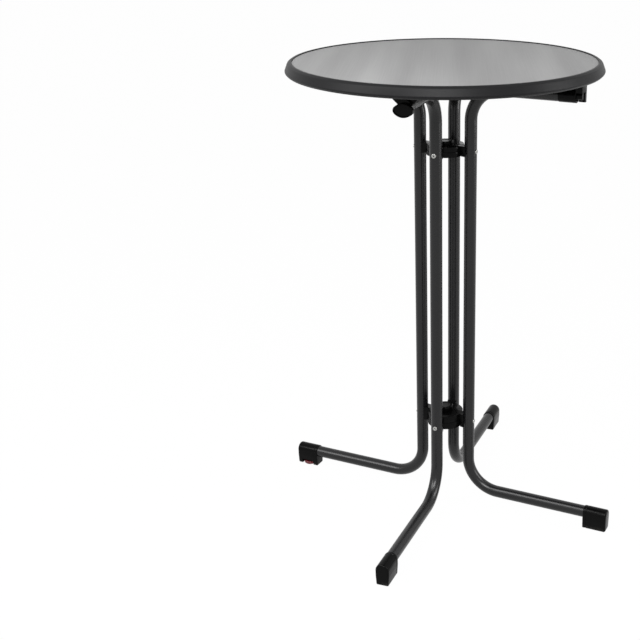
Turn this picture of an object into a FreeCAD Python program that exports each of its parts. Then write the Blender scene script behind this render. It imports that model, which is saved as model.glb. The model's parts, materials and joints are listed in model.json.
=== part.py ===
"""Folding cocktail table: four C-shaped tube legs in two pairs that scissor about a vertical pivot,
under a round top that lifts off.  Lengths are millimetres; +Z is up, +X runs along the right arm."""
import FreeCAD, Part
import Sketcher
import math
import os

from FreeCAD import Placement, Rotation, Vector

# Driving dimensions: alias, size, what it is.
DIMENSIONS = [
    ("table_height", 1095.5, "floor to the top of the rim"),
    ("rim_diameter", 704, "widest part of the rim"),
    ("rim_width", 16.5, "laminate's edge to the widest part of the rim"),
    ("rim_lip", 2, "rim stands proud of the laminate"),
    ("rim_height", 26, "rim from top to bottom"),
    ("rim_flat", 4.5, "level band at the inner edge of the rim"),
    ("rim_shoulder_out", 10, "rounded shoulder, outwards from the laminate"),
    ("rim_shoulder_drop", 3.5, "rounded shoulder, downwards"),
    ("rim_shoulder_round", 5.5, "radius of the shoulder"),
    ("rim_belly_drop", 20, "widest line of the rim below the rim's top"),
    ("rim_under_round", 6, "radius that turns under the rim"),
    ("board_recess", 2, "underside of the board above the rim's bottom"),
    ("laminate_thickness", 1, "decor sheet"),
    ("board_play", 0.1, "radial gap between board and rim"),
    ("tube_diameter", 28.5, "steel tube of the legs"),
    ("tube_wall", 1.5, "tube wall"),
    ("leg_radius", 63, "table axis to the upright of a leg"),
    ("arm_drop", 58, "top of the rim down to the arm's axis"),
    ("side_arm_inset", 31.5, "right and left arm tubes end inside the laminate's edge"),
    ("main_arm_inset", 87.5, "front and back arm tubes end inside the laminate's edge"),
    ("arm_bend", 72, "bend radius between arm and upright"),
    ("foot_bend", 80, "bend radius between upright and foot"),
    ("foot_height", 37.5, "floor to the foot tube's axis"),
    ("cap_start", 370, "table axis to the inner end of a foot cap"),
    ("cap_length", 58, "length of a foot cap"),
    ("cap_grip", 40, "length of tube inside a foot cap"),
    ("cap_wall", 2, "foot cap wall around the tube"),
    ("cap_base_width", 29, "flat base of a foot cap"),
    ("cap_flare_height", 24, "floor to where a foot cap is at full width"),
    ("cap_round", 4, "rounding at the outer end of a foot cap"),
    ("spread_angle", 85, "front leg to right leg when open"),
    ("fold_angle", 28, "front leg to right leg when folded"),
    ("upper_hub_drop", 200, "top of the rim down to the upper hub's screws"),
    ("lower_hub_height", 221, "floor to the lower hub's screws"),
    ("upper_hub_thickness", 23.5, "height of the upper hub"),
    ("lower_hub_thickness", 34, "height of the lower hub"),
    ("disc_clearance", 1.25, "pivot discs clear of the leg screws' tips"),
    ("hub_gap", 0.8, "arm block clear of the other plate's disc"),
    ("hub_wrap", 5.25, "arm block reaches past the inner side of its tube"),
    ("hub_sector_margin", 1, "play between folded arm blocks, degrees each side"),
    ("pivot_diameter", 10, "pivot bolt"),
    ("pivot_play", 0.05, "running clearance on the pivot bolt"),
    ("pivot_head_diameter", 16, "head and nut of the pivot bolt"),
    ("pivot_head_height", 5, "pivot bolt head"),
    ("pivot_nut_height", 7, "pivot nut"),
    ("spacer_diameter", 36, "sliding washer between the discs"),
    ("spacer_thickness", 1, "sliding washer"),
    ("cover_diameter", 37, "cover over the pivot bolt head"),
    ("upper_cover_height", 8, "upper pivot cover"),
    ("lower_cover_height", 14, "lower pivot cover"),
    ("cover_room", 1, "room around the bolt head inside the cover"),
    ("cover_round", 2, "edge rounding of the pivot cover"),
    ("screw_diameter", 6, "leg screws"),
    ("screw_play", 0.1, "clearance around a leg screw"),
    ("screw_head_diameter", 11, "leg screw head"),
    ("screw_head_height", 3, "leg screw head"),
    ("screw_head_round", 1.5, "edge rounding of a screw head"),
    ("screw_bite", 4.5, "screw length inside a hub block"),
    ("plug_play", 0.05, "spigot inside a tube end"),
    ("spigot_length", 20, "spigot of the arm ends"),
    ("arm_cap_width", 44, "oval end cap of the front and back arms"),
    ("arm_cap_height", 29, "oval end cap"),
    ("arm_cap_end_round", 9.5, "radius at the narrow ends of the oval"),
    ("arm_cap_thickness", 10, "oval end cap along the arm"),
    ("arm_cap_drop", 8, "oval below the arm's axis"),
    ("arm_cap_lip", 3, "raised lip of the oval end cap"),
    ("arm_cap_dish", 2, "depth inside the lip"),
    ("saddle_length", 34, "saddle along the arm"),
    ("saddle_neck", 33, "saddle width at the arm"),
    ("saddle_waist", 15, "neck above the arm's axis"),
    ("saddle_flange", 50, "saddle width at the board"),
    ("flange_thickness", 5, "bracket flange under the board"),
    ("bracket_gap", 0.3, "brackets clear of the arms"),
    ("arm_cap_gap", 0.5, "saddle clear of the oval end cap"),
    ("plug_collar", 3, "round collar of the arm ends"),
    ("nose_diameter", 16, "nose that carries the top"),
    ("nose_length", 13, "nose beyond the collar"),
    ("catch_thickness", 15, "catch along the arm"),
    ("catch_width", 30, "rest across the arm"),
    ("catch_flange", 52, "catch flange across the arm"),
    ("catch_lip", 8, "stop beside the nose"),
    ("catch_depth", 14, "stop below the arm's axis"),
    ("wood_screw_diameter", 4, "bracket screws"),
    ("wood_screw_head", 7, "bracket screw head"),
    ("wood_screw_head_height", 2, "bracket screw head"),
    ("wood_screw_bite", 14, "bracket screw in the board"),
    ("wood_screw_inset", 4.3, "bracket screw from the flange's edge"),
    ("wheel_diameter", 33, "levelling wheel"),
    ("wheel_thickness", 7, "levelling wheel"),
    ("wheel_play", 0.4, "wheel clear of its notch"),
    ("level_travel", 4.5, "rise of the wheel into its notch"),
    ("stud_diameter", 8, "levelling stud"),
    ("stud_rise", 11, "stud above the wheel"),
    ("stud_inset", 0.5, "stud end above the wheel's base"),
    ("stud_play", 0.05, "running clearance on the stud"),
]

doc = FreeCAD.newDocument("CocktailTable")
sheet = doc.addObject("Spreadsheet::Sheet", "Sizes")


class Size:
    """A number together with the expression that gives it, so that shapes stay bound to the sheet."""

    def __init__(self, value, text):
        self.value = float(value)
        self.text = text

    def _with(self, other, sign, value):
        text = other.text if isinstance(other, Size) else repr(float(other))
        return Size(value, f"({self.text} {sign} {text})")

    def __add__(self, other):
        return self._with(other, "+", self.value + float(other))

    def __sub__(self, other):
        return self._with(other, "-", self.value - float(other))

    def __mul__(self, other):
        return self._with(other, "*", self.value * float(other))

    def __truediv__(self, other):
        return self._with(other, "/", self.value / float(other))

    def __neg__(self):
        return Size(-self.value, f"(-1 * {self.text})")

    def tangent(self):
        """Tangent of a size in degrees."""
        return Size(math.tan(math.radians(self.value)), f"tan({self.text} * 1 deg)")

    def __float__(self):
        return self.value


def fill_sheet():
    sizes = {}
    for row, (alias, number, meaning) in enumerate(DIMENSIONS, start=1):
        sheet.set(f"A{row}", alias)
        sheet.set(f"B{row}", str(number))
        sheet.set(f"C{row}", meaning)
        sheet.setAlias(f"B{row}", alias)
        sizes[alias] = Size(number, f"Sizes.{alias}")
    doc.recompute()
    return sizes


S = fill_sheet()
subparts = []


def place(thing, turn=0.0, at=(0, 0, 0), tilt=None):
    """Tilt a shape, shift it along the arm, then turn it about the table's axis."""
    spin = Placement(Vector(), Rotation(Vector(0, 0, 1), turn))
    shift = Placement(Vector(*[float(v) for v in at]), tilt or Rotation())
    thing.Placement = spin.multiply(shift)
    return thing


def node(label, thing, turn=0.0, at=(0, 0, 0)):
    """Name a finished sub-part and put it in its place."""
    thing.Label = label
    subparts.append(place(thing, turn, at))


def bind(thing, **sizes):
    for name, size in sizes.items():
        thing.setExpression(name.replace("__", "."), size.text)
    return thing


def cylinder(name, radius, height, base=None):
    """Upright cylinder whose lower face is at base above the origin."""
    solid = bind(doc.addObject("Part::Cylinder", name), Radius=radius, Height=height)
    if base is not None:
        bind(solid, Placement__Base__z=base)
    return solid


def block(name, low_x, low_y, span):
    """Box that stands at height 0, from its low corner."""
    solid = bind(doc.addObject("Part::Box", name), Length=span[0], Width=span[1], Height=span[2])
    return bind(solid, Placement__Base__x=low_x, Placement__Base__y=low_y)


def fuse(name, *solids):
    joined = doc.addObject("Part::MultiFuse", name)
    joined.Shapes = list(solids)
    return joined


def cut(name, base, *tools):
    result = doc.addObject("Part::Cut", name)
    result.Base = base
    result.Tool = tools[0] if len(tools) == 1 else fuse(name + "_tools", *tools)
    return result


def group(name, solids):
    """Several separate solids that share one node."""
    collected = doc.addObject("Part::Compound", name)
    collected.Links = list(solids)
    return collected


def body(name):
    return doc.addObject("PartDesign::Body", name)


def plane(owner, role):
    return next(f for f in owner.Origin.OriginFeatures if f.Role == role)


def sketch(owner, name, role, lift=None):
    drawing = owner.newObject("Sketcher::SketchObject", name)
    drawing.AttachmentSupport = [(plane(owner, role), "")]
    drawing.MapMode = "FlatFace"
    if lift is not None:
        drawing.AttachmentOffset = Placement(Vector(0, 0, float(lift)), Rotation())
        bind(drawing, AttachmentOffset__Base__z=lift)
    return drawing


def pin_point(drawing, edge, corner, point):
    """Fix one end of an edge at a place given by two sizes; a plain 0 puts it on the sketch's axis."""
    for kind, axis, size in zip(("DistanceX", "DistanceY"), (-2, -1), point):
        if not isinstance(size, Size):
            drawing.addConstraint(Sketcher.Constraint("PointOnObject", edge, corner, axis))
            continue
        index = drawing.addConstraint(Sketcher.Constraint(kind, -1, 1, edge, corner, float(size)))
        drawing.setExpression(f"Constraints[{index}]", size.text)


def outline(drawing, points, rounds=None, closed=True):
    """Lines through sized points; rounds gives {edge number: (radius, bulge)} where an arc goes instead."""
    rounds = rounds or {}
    first = drawing.GeometryCount
    edges = len(points) if closed else len(points) - 1
    corners = [Vector(float(x), float(y), 0) for x, y in points]
    for number in range(edges):
        a = corners[number]
        b = corners[(number + 1) % len(points)]
        if number not in rounds:
            drawing.addGeometry(Part.LineSegment(a, b), False)
            continue
        radius, bulge = rounds[number]
        sink = math.sqrt(max(float(radius) ** 2 - ((b - a).Length / 2) ** 2, 0))
        side = Vector(b.y - a.y, a.x - b.x, 0).normalize() * bulge
        drawing.addGeometry(Part.Arc(a, (a + b) / 2 + side * (float(radius) - sink), b), False)
    for number in range(edges if closed else edges - 1):
        following = (number + 1) % edges
        here = edge_ends(drawing, first + number, corners[number])
        there = edge_ends(drawing, first + following, corners[following])
        drawing.addConstraint(
            Sketcher.Constraint("Coincident", first + number, here[1], first + following, there[0]))
    for number, point in enumerate(points):
        edge = min(number, edges - 1)
        ends = edge_ends(drawing, first + edge, corners[edge])
        pin_point(drawing, first + edge, ends[number - edge], point)
    for number, (radius, _) in rounds.items():
        index = drawing.addConstraint(Sketcher.Constraint("Radius", first + number, float(radius)))
        drawing.setExpression(f"Constraints[{index}]", radius.text)


def edge_ends(drawing, edge, start):
    """The point numbers of an edge's start and end: an arc may be stored the other way round."""
    distances = [drawing.getPoint(edge, end).distanceToPoint(start) for end in (1, 2)]
    return (1, 2) if distances[0] < distances[1] else (2, 1)


def circle(drawing, radius, x, y):
    round_edge = Part.Circle(Vector(float(x), float(y), 0), Vector(0, 0, 1), float(radius))
    edge = drawing.addGeometry(round_edge, False)
    pin_point(drawing, edge, 3, (x, y))
    index = drawing.addConstraint(Sketcher.Constraint("Radius", edge, float(radius)))
    drawing.setExpression(f"Constraints[{index}]", radius.text)


def pad(owner, name, drawing, length):
    feature = owner.newObject("PartDesign::Pad", name)
    feature.Profile = drawing
    return bind(feature, Length=length)


def pocket(owner, name, drawing, length):
    """Cut along the sketch's normal, and make sure that something was removed."""
    doc.recompute()
    before = owner.Shape.Volume
    feature = owner.newObject("PartDesign::Pocket", name)
    feature.Profile = drawing
    feature.Reversed = True
    bind(feature, Length=length)
    doc.recompute()
    if not owner.Shape.Volume < before:
        raise RuntimeError(f"{owner.Name}.{name} removed nothing")
    return feature


def revolve(owner, name, drawing, axis):
    feature = owner.newObject("PartDesign::Revolution", name)
    feature.Profile = drawing
    feature.ReferenceAxis = (drawing, [axis])
    feature.Angle = 360
    return feature


# Heights and radii that several pieces share
FACE = S["table_height"]
UNDERSIDE = FACE - S["rim_height"] + S["board_recess"]
ARM = FACE - S["arm_drop"]
FACE_RADIUS = S["rim_diameter"] / 2 - S["rim_width"]
SIDE_REACH = FACE_RADIUS - S["side_arm_inset"]
MAIN_REACH = FACE_RADIUS - S["main_arm_inset"]
TUBE = S["tube_diameter"] / 2
BORE = TUBE - S["tube_wall"]
FOOT_END = S["cap_start"] + S["cap_grip"]
SCREW_BORE = S["screw_diameter"] / 2 + S["screw_play"]
SCREW_TIP = S["leg_radius"] - TUBE - S["screw_bite"]
PIVOT = S["pivot_diameter"] / 2
DISC = SCREW_TIP - S["disc_clearance"]
BLOCK_END = S["leg_radius"] - TUBE + S["hub_wrap"]
HALF_SPACER = S["spacer_thickness"] / 2
BRACKET_HEIGHT = UNDERSIDE - ARM
FLANGE_UNDERSIDE = BRACKET_HEIGHT - S["flange_thickness"]
WOOD_BORE = S["wood_screw_diameter"] / 2 + S["screw_play"]
CAP_MIDDLE = S["cap_start"] + S["cap_length"] / 2

# Directions of the four legs about the table's axis, in degrees
RIGHT = 0.0
LEFT = 180.0
FRONT = -float(S["spread_angle"])
BACK = FRONT + LEFT
HUBS = {"upper": FACE - S["upper_hub_drop"], "lower": S["lower_hub_height"]}


def screw_pair(flange):
    """Where the two screws of a bracket sit across its flange."""
    edge = flange / 2 - S["wood_screw_inset"]
    return [edge, -edge]


# Brackets along the arms, and the place of every bracket screw: leg direction, along and across the arm
SADDLE_START = MAIN_REACH - S["arm_cap_gap"] - S["saddle_length"]
CATCH_START = SIDE_REACH + S["plug_collar"] + S["bracket_gap"]
SADDLE_SCREWS = screw_pair(S["saddle_flange"])
CATCH_SCREWS = screw_pair(S["catch_flange"])
SCREW_PLACES = [
    (turn, start + length / 2, offset)
    for turns, start, length, offsets in (
        ((FRONT, BACK), SADDLE_START, S["saddle_length"], SADDLE_SCREWS),
        ((LEFT, RIGHT), CATCH_START, S["catch_thickness"], CATCH_SCREWS))
    for turn in turns for offset in offsets]


def leg(label, turn, reach):
    """Bent tube: level arm, upright and level foot in one plane, with a screw hole at each hub."""
    owner = body(label)
    path = sketch(owner, label + "_path", "XZ_Plane")
    radius = S["leg_radius"]
    outline(path, [(reach, ARM),
                   (radius + S["arm_bend"], ARM),
                   (radius, ARM - S["arm_bend"]),
                   (radius, S["foot_height"] + S["foot_bend"]),
                   (radius + S["foot_bend"], S["foot_height"]),
                   (FOOT_END, S["foot_height"])],
            {1: (S["arm_bend"], 1), 3: (S["foot_bend"], 1)}, closed=False)
    section = sketch(owner, label + "_section", "YZ_Plane", reach)
    circle(section, TUBE, 0, ARM)
    circle(section, BORE, 0, ARM)
    pipe = owner.newObject("PartDesign::AdditivePipe", label + "_tube")
    pipe.Profile = section
    pipe.Spine = path
    holes = sketch(owner, label + "_holes", "YZ_Plane")
    for height in HUBS.values():
        circle(holes, SCREW_BORE, 0, height)
    pocket(owner, label + "_drilled", holes, radius + S["tube_diameter"])
    node(label, owner, turn)


def foot_cap(label, turn, levelled=False):
    """Moulded shoe over the end of a foot tube, round above and flat below."""
    name = label + "_shoe"
    owner = body(name)
    half = TUBE + S["cap_wall"]
    section = sketch(owner, name + "_section", "YZ_Plane", S["cap_start"])
    base = S["cap_base_width"] / 2
    axis = S["foot_height"]
    flare = S["cap_flare_height"]
    points = [(-base, 0), (base, 0), (half, flare), (half, axis), (0, axis + half), (-half, axis),
              (-half, flare)]
    outline(section, points, {3: (half, 1), 4: (half, 1)})
    shoe = pad(owner, name + "_block", section, S["cap_length"])
    doc.recompute()
    end = float(S["cap_start"] + S["cap_length"])
    rim = [f"Edge{i}" for i, edge in enumerate(shoe.Shape.Edges, start=1)
           if all(abs(v.X - end) < 1e-6 for v in edge.Vertexes)]
    rounded = owner.newObject("PartDesign::Fillet", name + "_rounded")
    rounded.Base = (shoe, rim)
    bind(rounded, Radius=S["cap_round"])
    socket = sketch(owner, name + "_socket", "YZ_Plane", S["cap_start"])
    circle(socket, TUBE, 0, axis)
    pocket(owner, name + "_bored", socket, S["cap_grip"])
    if not levelled:
        node(label, owner, turn)
        return
    length = S["wheel_diameter"] + S["wheel_play"] * 2
    width = half * 2 + S["wheel_diameter"]
    height = S["wheel_thickness"] + S["level_travel"] + S["wheel_play"]
    notch = block(label + "_notch", CAP_MIDDLE - length / 2, -(width / 2), (length, width, height))
    bore = cylinder(label + "_bore", S["stud_diameter"] / 2 + S["stud_play"], axis - TUBE)
    bind(bore, Placement__Base__x=CAP_MIDDLE)
    node(label, cut(label, owner, notch, bore), turn)


def leveller():
    """Wheel under the left shoe, and the stud in the shoe that it winds up and down on."""
    stud = S["stud_diameter"] / 2
    disc = cylinder("wheel_disc", S["wheel_diameter"] / 2, S["wheel_thickness"])
    hole = cylinder("wheel_hole", stud + S["stud_play"], S["wheel_thickness"])
    node("level_wheel", cut("level_wheel", disc, hole), LEFT, (CAP_MIDDLE, 0, 0))
    stem = cylinder("level_stud", stud, S["wheel_thickness"] - S["stud_inset"] + S["stud_rise"])
    node("level_stud", stem, LEFT, (CAP_MIDDLE, 0, S["stud_inset"]))


def hub_plate(label, turn, height, half, disc_base, arm_base):
    """Half-height pivot disc with a full-height block at each end that seats a leg."""
    owner = body(label)
    disc = sketch(owner, label + "_disc", "XY_Plane", disc_base)
    circle(disc, DISC, 0, 0)
    circle(disc, PIVOT + S["pivot_play"], 0, 0)
    pad(owner, label + "_disc_pad", disc, half - HALF_SPACER)
    slope = (S["fold_angle"] / 2 - S["hub_sector_margin"]).tangent()
    outer = BLOCK_END
    for part, inner, base, thick in (
            ("link", S["spacer_diameter"] / 2, disc_base, half - HALF_SPACER),
            ("block", DISC + S["hub_gap"], arm_base, half + HALF_SPACER)):
        arms = sketch(owner, f"{label}_{part}", "XY_Plane", base)
        for x0, x1 in ((inner, outer), (-outer, -inner)):
            y0 = x0 * slope
            y1 = x1 * slope
            outline(arms, [(x0, -y0), (x1, -y1), (x1, y1), (x0, y0)])
        pad(owner, f"{label}_{part}_pad", arms, thick)
    seats = sketch(owner, label + "_seats", "XY_Plane", -half)
    circle(seats, TUBE, S["leg_radius"], 0)
    circle(seats, TUBE, -S["leg_radius"], 0)
    pocket(owner, label + "_seated", seats, half * 2)
    for part, start in (("near", SCREW_TIP), ("far", -outer)):
        drill = sketch(owner, f"{label}_{part}_drill", "YZ_Plane", start)
        circle(drill, SCREW_BORE, 0, 0)
        pocket(owner, f"{label}_{part}_drilled", drill, outer - SCREW_TIP)
    node(label, owner, turn, (0, 0, height))


def pivot(hub, height, half, cover_height):
    """Bolt, nut and sliding washer that the two hub plates turn on, and the cover over the bolt head."""
    top = half + S["pivot_play"]
    end = -half - S["pivot_nut_height"]
    head = S["pivot_head_diameter"] / 2
    shank = cylinder(hub + "_shank", PIVOT, top - end, end)
    bolt_head = cylinder(hub + "_bolt_head", head, S["pivot_head_height"], top)
    node(hub + "_pivot_bolt", fuse(hub + "_pivot_bolt", shank, bolt_head), FRONT, (0, 0, height))
    hexagon = doc.addObject("Part::Prism", hub + "_hexagon")
    hexagon.Polygon = 6
    bind(hexagon, Circumradius=head, Height=S["pivot_nut_height"], Placement__Base__z=end)
    thread = cylinder(hub + "_thread", PIVOT + S["pivot_play"], S["pivot_nut_height"], end)
    node(hub + "_pivot_nut", cut(hub + "_pivot_nut", hexagon, thread), FRONT, (0, 0, height))
    ring = cylinder(hub + "_ring", S["spacer_diameter"] / 2, S["spacer_thickness"], -HALF_SPACER)
    eye = cylinder(hub + "_eye", PIVOT + S["pivot_play"], S["spacer_thickness"], -HALF_SPACER)
    node(hub + "_pivot_washer", cut(hub + "_pivot_washer", ring, eye), FRONT, (0, 0, height))
    cover = body(hub + "_cover")
    drawing = sketch(cover, hub + "_cover_section", "XZ_Plane")
    room = head + S["cover_room"]
    wall = S["cover_diameter"] / 2
    ceiling = top + S["pivot_head_height"] + S["cover_room"]
    crown = half + cover_height
    outline(drawing, [(room, half), (wall, half), (wall, crown - S["cover_round"]),
                      (wall - S["cover_round"], crown), (0, crown), (0, ceiling), (room, ceiling)],
            {2: (S["cover_round"], 1)})
    revolve(cover, hub + "_cover_turned", drawing, "V_Axis")
    node(hub + "_pivot_cover", cover, RIGHT, (0, 0, height))


def turned(name, profile, rounds=None):
    """Body of revolution about its own X axis."""
    owner = body(name)
    drawing = sketch(owner, name + "_section", "XZ_Plane")
    outline(drawing, profile, rounds)
    revolve(owner, name + "_turned", drawing, "H_Axis")
    return owner


def leg_screws(label, turns):
    """Pan-head screws through the uprights into the hub blocks."""
    shank = S["screw_diameter"] / 2
    head = S["screw_head_diameter"] / 2
    seat = S["leg_radius"] + TUBE
    crown = seat + S["screw_head_height"]
    soft = S["screw_head_round"]
    profile = [(SCREW_TIP, 0), (crown, 0), (crown, head - soft), (crown - soft, head), (seat, head),
               (seat, shank), (SCREW_TIP, shank)]
    screws = [place(turned(f"{label}_{hub}_{i}", profile, {2: (soft, -1)}), turn, (0, 0, height))
              for hub, height in HUBS.items() for i, turn in enumerate(turns)]
    node(label, group(label, screws))


def oval(drawing, half_width, half_height, end_round, drop):
    """Four-arc oval dropped below the origin: flat arcs above and below, tight arcs at the two ends."""
    shift = half_width - end_round
    flat_round = (shift * shift + half_height * half_height - end_round * end_round) / (
        (half_height - end_round) * 2)
    sink = flat_round - half_height
    x = flat_round * shift / (flat_round - end_round)
    y = flat_round * sink / (flat_round - end_round) - sink
    low = -y - drop
    high = y - drop
    outline(drawing, [(x, low), (x, high), (-x, high), (-x, low)],
            {0: (end_round, 1), 1: (flat_round, 1), 2: (end_round, 1), 3: (flat_round, 1)})


def arm_cap(label, turn):
    """Oval end cap with a raised lip, on a round collar with a spigot in the arm."""
    owner = body(label)
    half_width = S["arm_cap_width"] / 2
    half_height = S["arm_cap_height"] / 2
    lip = S["arm_cap_lip"]
    thick = S["arm_cap_thickness"]
    collar = sketch(owner, label + "_collar", "YZ_Plane")
    circle(collar, TUBE, 0, 0)
    pad(owner, label + "_collar_pad", collar, S["plug_collar"])
    face = sketch(owner, label + "_face", "YZ_Plane", S["plug_collar"])
    oval(face, half_width, half_height, S["arm_cap_end_round"], S["arm_cap_drop"])
    pad(owner, label + "_block", face, thick)
    dish = sketch(owner, label + "_dish", "YZ_Plane", S["plug_collar"] + thick - S["arm_cap_dish"])
    oval(dish, half_width - lip, half_height - lip, S["arm_cap_end_round"] - lip, S["arm_cap_drop"])
    pocket(owner, label + "_dished", dish, S["arm_cap_dish"])
    spigot = sketch(owner, label + "_spigot", "YZ_Plane", -S["spigot_length"])
    circle(spigot, BORE - S["plug_play"], 0, 0)
    pad(owner, label + "_spigot_pad", spigot, S["spigot_length"])
    node(label, owner, turn, (MAIN_REACH, 0, ARM))


def arm_plug(label, turn):
    """Collared plug whose nose carries the catch."""
    spigot = BORE - S["plug_play"]
    collar = S["plug_collar"]
    nose = S["nose_diameter"] / 2
    tip = collar + S["nose_length"]
    profile = [(-S["spigot_length"], 0), (tip, 0), (tip, nose), (collar, nose), (collar, TUBE),
               (0, TUBE), (0, spigot), (-S["spigot_length"], spigot)]
    node(label, turned(label, profile), turn, (SIDE_REACH, 0, ARM))


def bracket(label, turn, start, length, section, screw_offsets, sunk):
    """Bracket pressed against the board: a section across the arm, with its screw holes."""
    owner = body(label)
    across = sketch(owner, label + "_section", "YZ_Plane", start)
    outline(across, *section)
    pad(owner, label + "_block", across, length)
    cuts = [("drill", FLANGE_UNDERSIDE, WOOD_BORE, S["flange_thickness"])]
    if sunk:
        cuts.append(("sink", None, S["wood_screw_head"] / 2 + S["screw_play"], FLANGE_UNDERSIDE))
    for part, lift, radius, depth in cuts:
        holes = sketch(owner, f"{label}_{part}", "XY_Plane", lift)
        for offset in screw_offsets:
            circle(holes, radius, start + length / 2, offset)
        pocket(owner, f"{label}_{part}_cut", holes, depth)
    node(label, owner, turn, (0, 0, ARM))


def saddle(label, turn):
    """Open saddle that drops over the front or back arm behind its end cap."""
    neck = S["saddle_neck"] / 2
    flange = S["saddle_flange"] / 2
    hollow = TUBE + S["bracket_gap"]
    waist = S["saddle_waist"]
    points = [(-neck, 0), (-hollow, 0), (0, hollow), (hollow, 0), (neck, 0), (neck, waist),
              (flange, FLANGE_UNDERSIDE), (flange, BRACKET_HEIGHT), (-flange, BRACKET_HEIGHT),
              (-flange, FLANGE_UNDERSIDE), (-neck, waist)]
    bracket(label, turn, SADDLE_START, S["saddle_length"],
            (points, {1: (hollow, -1), 2: (hollow, -1)}), SADDLE_SCREWS, sunk=True)


def catch(label, turn):
    """Rest over the right or left arm's nose, with a stop on the side that the arm opens towards."""
    nose = S["nose_diameter"] / 2 + S["bracket_gap"]
    stop = nose + S["catch_lip"]
    rest = S["catch_width"] / 2
    flange = S["catch_flange"] / 2
    points = [(-rest, nose), (nose, nose), (nose, -S["catch_depth"]), (stop, -S["catch_depth"]),
              (stop, FLANGE_UNDERSIDE), (flange, FLANGE_UNDERSIDE), (flange, BRACKET_HEIGHT),
              (-flange, BRACKET_HEIGHT), (-flange, FLANGE_UNDERSIDE), (-rest, FLANGE_UNDERSIDE)]
    bracket(label, turn, CATCH_START, S["catch_thickness"], (points,), CATCH_SCREWS, sunk=False)


def bracket_screws():
    """Wood screws that hold the saddles and catches to the board."""
    shank = S["wood_screw_diameter"] / 2
    head = S["wood_screw_head"] / 2
    tall = S["wood_screw_head_height"]
    tip = S["flange_thickness"] + S["wood_screw_bite"]
    profile = [(-tall, 0), (tip, 0), (tip, shank), (0, shank), (0, head), (-tall, head)]
    upright = Rotation(Vector(0, 1, 0), -90)
    seat = UNDERSIDE - S["flange_thickness"]
    screws = [place(turned(f"bracket_screw_{i}", profile), turn, (x, y, seat), upright)
              for i, (turn, x, y) in enumerate(SCREW_PLACES)]
    node("bracket_screws", group("bracket_screws", screws))


def table_top():
    """Board, decor sheet and the moulded rim around them."""
    sheet_base = FACE - S["rim_lip"] - S["laminate_thickness"]
    board = cylinder("board_disc", FACE_RADIUS - S["board_play"], sheet_base - UNDERSIDE, UNDERSIDE)
    pilots = [place(cylinder(f"pilot_{i}", WOOD_BORE, S["wood_screw_bite"]), turn, (x, y, UNDERSIDE))
              for i, (turn, x, y) in enumerate(SCREW_PLACES)]
    node("top_board", cut("top_board", board, *pilots))
    decor = cylinder("top_laminate", FACE_RADIUS - S["board_play"], S["laminate_thickness"])
    node("top_laminate", decor, at=(0, 0, sheet_base))
    rim = body("rim_edging")
    section = sketch(rim, "rim_section", "XZ_Plane")
    edge = S["rim_diameter"] / 2
    bottom = FACE - S["rim_height"]
    points = [(FACE_RADIUS, bottom),
              (edge - S["rim_under_round"], bottom),
              (edge, FACE - S["rim_belly_drop"]),
              (FACE_RADIUS + S["rim_shoulder_out"], FACE - S["rim_shoulder_drop"]),
              (FACE_RADIUS + S["rim_flat"], FACE),
              (FACE_RADIUS, FACE)]
    outline(section, points, {1: (S["rim_under_round"], 1), 3: (S["rim_shoulder_round"], 1)})
    revolve(rim, "rim_turned", section, "V_Axis")
    node("rim_edging", rim)


def build():
    for label, turn, reach in (("front", FRONT, MAIN_REACH), ("back", BACK, MAIN_REACH),
                               ("left", LEFT, SIDE_REACH), ("right", RIGHT, SIDE_REACH)):
        leg("leg_" + label, turn, reach)
        foot_cap("foot_cap_" + label, turn, levelled=turn == LEFT)
    leveller()
    for hub, height in HUBS.items():
        half = S[hub + "_hub_thickness"] / 2
        hub_plate(hub + "_hub_fixed", FRONT, height, half, -half, -HALF_SPACER)
        hub_plate(hub + "_hub_swing", RIGHT, height, half, HALF_SPACER, -half)
        pivot(hub, height, half, S[hub + "_cover_height"])
    leg_screws("fixed_leg_screws", (FRONT, BACK))
    leg_screws("swing_leg_screws", (LEFT, RIGHT))
    for label, turn in (("front", FRONT), ("back", BACK)):
        arm_cap("arm_cap_" + label, turn)
        saddle("saddle_" + label, turn)
    for label, turn in (("left", LEFT), ("right", RIGHT)):
        arm_plug("arm_plug_" + label, turn)
        catch("catch_" + label, turn)
    table_top()
    bracket_screws()
    doc.recompute()


def check():
    """Stop before anything is written if a feature failed or a shape is not sound."""
    for thing in doc.Objects:
        if any(word in ("Invalid", "Error") for word in thing.State):
            raise RuntimeError(f"{thing.Name} failed: {thing.State}")
    for piece in subparts:
        if piece.Shape.isNull() or not piece.Shape.isValid():
            raise RuntimeError(f"{piece.Label} has no sound shape")


def export():
    os.makedirs("parts", exist_ok=True)
    for piece in subparts:
        piece.Shape.exportStep(f"parts/{piece.Label}.step")
        print(f"{piece.Label}: {len(piece.Shape.Solids)} solid(s), {piece.Shape.Volume:.0f} mm3")


build()
check()
export()
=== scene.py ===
# %% [markdown]
# # A folding cocktail table
# The table has a round laminate top with a moulded rim, four bent steel tubes that carry it, two hubs that
# the tube pairs scissor on, and plastic shoes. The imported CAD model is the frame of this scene: it gives
# every place and size, in metres. Blender adds the fine shapes, the finishes, the light and the camera.

# %% Load the frame
import json
import math

import bmesh
import bpy
from mathutils import Matrix, Vector

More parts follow.
